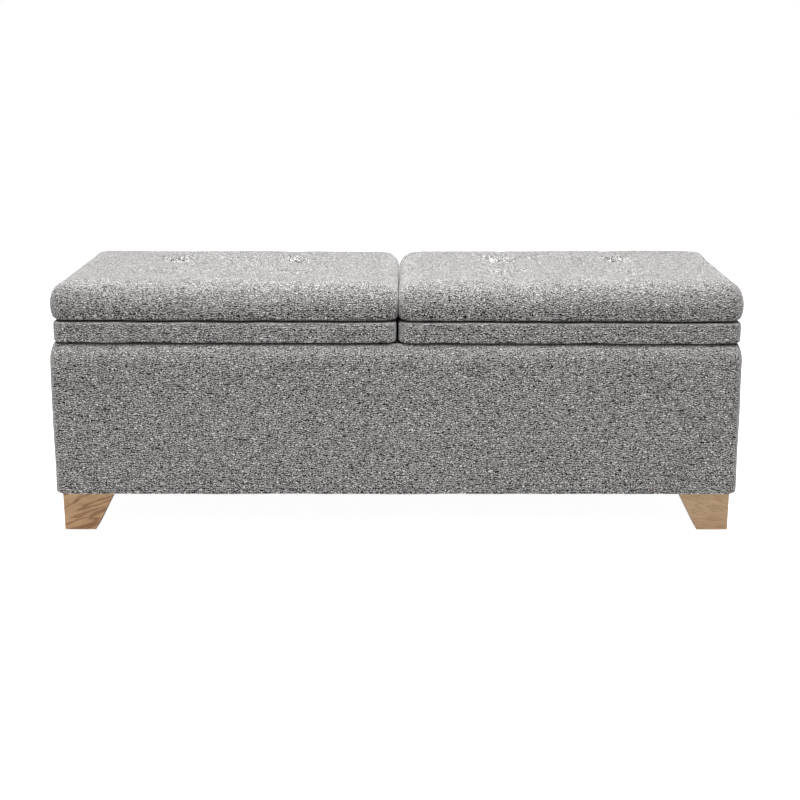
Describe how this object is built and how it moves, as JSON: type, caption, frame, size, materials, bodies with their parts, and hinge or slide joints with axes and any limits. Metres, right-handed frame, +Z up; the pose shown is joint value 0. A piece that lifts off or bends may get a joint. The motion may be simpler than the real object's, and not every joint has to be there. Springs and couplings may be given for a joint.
{
  "type": "storage bench",
  "caption": "Upholstered storage bench with two tufted lids hinged at the back, each held by gas struts, on tapered oak legs.",
  "frame": {"origin": "on the floor, under the middle of the bench", "axes": "+X along the bench to the right as seen from the front, +Y towards the back where the lids are hinged, +Z up"},
  "size_m": [1.278, 0.446, 0.474],
  "materials": {
    "grey_cloth": "matte",
    "black_lining": "matte",
    "padding_foam": "matte",
    "twine": "matte",
    "ply": "matte",
    "pine": "matte",
    "oak": "satin",
    "zinc_steel": "satin",
    "black_tube": "satin",
    "glide_plastic": "matte",
    "bumper_rubber": "matte"
  },
  "bodies": {
    "carcass": {"front_panel": "ply", "back_panel": "ply", "left_end_panel": "ply", "right_end_panel": "ply", "centre_divider": "ply", "bottom_panel": "ply", "panel_screws": "zinc_steel", "front_padding": "padding_foam", "back_padding": "padding_foam", "left_end_padding": "padding_foam", "right_end_padding": "padding_foam", "box_cover": "grey_cloth", "left_bay_lining": "black_lining", "right_bay_lining": "black_lining", "dust_cover": "black_lining", "leg_front_left": "oak", "leg_front_right": "oak", "leg_rear_left": "oak", "leg_rear_right": "oak", "leg_bolts": "zinc_steel", "leg_tee_nuts": "zinc_steel", "leg_glides": "glide_plastic", "lid_bumpers": "bumper_rubber", "box_hinge_leaves": "zinc_steel", "hinge_pins": "zinc_steel", "box_hinge_screws": "zinc_steel", "strut_foot_brackets": "zinc_steel", "strut_foot_screws": "zinc_steel"},
    "left_lid": {"left_lid_rails": "pine", "left_lid_deck": "ply", "left_lid_band_padding": "padding_foam", "left_lid_band_cover": "grey_cloth", "left_lid_lining": "black_lining", "left_seat_foam": "padding_foam", "left_seat_cover": "grey_cloth", "left_seat_buttons": "grey_cloth", "left_tuft_twines": "twine", "left_lid_hinge_leaves": "zinc_steel", "left_lid_screws": "zinc_steel", "left_lid_strut_brackets": "zinc_steel"},
    "left_strut_tubes": {"left_strut_tubes": "black_tube"},
    "left_strut_rods": {"left_strut_rods": "zinc_steel"},
    "right_lid": {"right_lid_rails": "pine", "right_lid_deck": "ply", "right_lid_band_padding": "padding_foam", "right_lid_band_cover": "grey_cloth", "right_lid_lining": "black_lining", "right_seat_foam": "padding_foam", "right_seat_cover": "grey_cloth", "right_seat_buttons": "grey_cloth", "right_tuft_twines": "twine", "right_lid_hinge_leaves": "zinc_steel", "right_lid_screws": "zinc_steel", "right_lid_strut_brackets": "zinc_steel"},
    "right_strut_tubes": {"right_strut_tubes": "black_tube"},
    "right_strut_rods": {"right_strut_rods": "zinc_steel"}
  },
  "joints": [
    {"name": "left_lid_hinge", "type": "hinge", "parent": "carcass", "child": "left_lid", "pos_m": [0, 0.22, 0.362], "axis": [-1, 0, 0], "range_deg": [0, 85]},
    {"name": "left_strut_swing", "type": "hinge", "parent": "carcass", "child": "left_strut_tubes", "pos_m": [0, 0.03, 0.212], "axis": [1, 0, 0], "range_deg": [0, 5.5]},
    {"name": "left_rod_slide", "type": "slide", "parent": "left_strut_tubes", "child": "left_strut_rods", "axis": [0, 0.711, 0.7032], "range_m": [0, 0.0745]},
    {"name": "right_lid_hinge", "type": "hinge", "parent": "carcass", "child": "right_lid", "pos_m": [0, 0.22, 0.362], "axis": [-1, 0, 0], "range_deg": [0, 85]},
    {"name": "right_strut_swing", "type": "hinge", "parent": "carcass", "child": "right_strut_tubes", "pos_m": [0, 0.03, 0.212], "axis": [1, 0, 0], "range_deg": [0, 5.5]},
    {"name": "right_rod_slide", "type": "slide", "parent": "right_strut_tubes", "child": "right_strut_rods", "axis": [0, 0.711, 0.7032], "range_m": [0, 0.0745]}
  ],
  "couplings": [
    {"joint": "left_strut_swing", "follows": "left_lid_hinge", "ratio": 0.062596},
    {"joint": "left_rod_slide", "follows": "left_lid_hinge", "m_per_rad": 0.049197},
    {"joint": "right_strut_swing", "follows": "right_lid_hinge", "ratio": 0.062596},
    {"joint": "right_rod_slide", "follows": "right_lid_hinge", "m_per_rad": 0.049197}
  ]
}
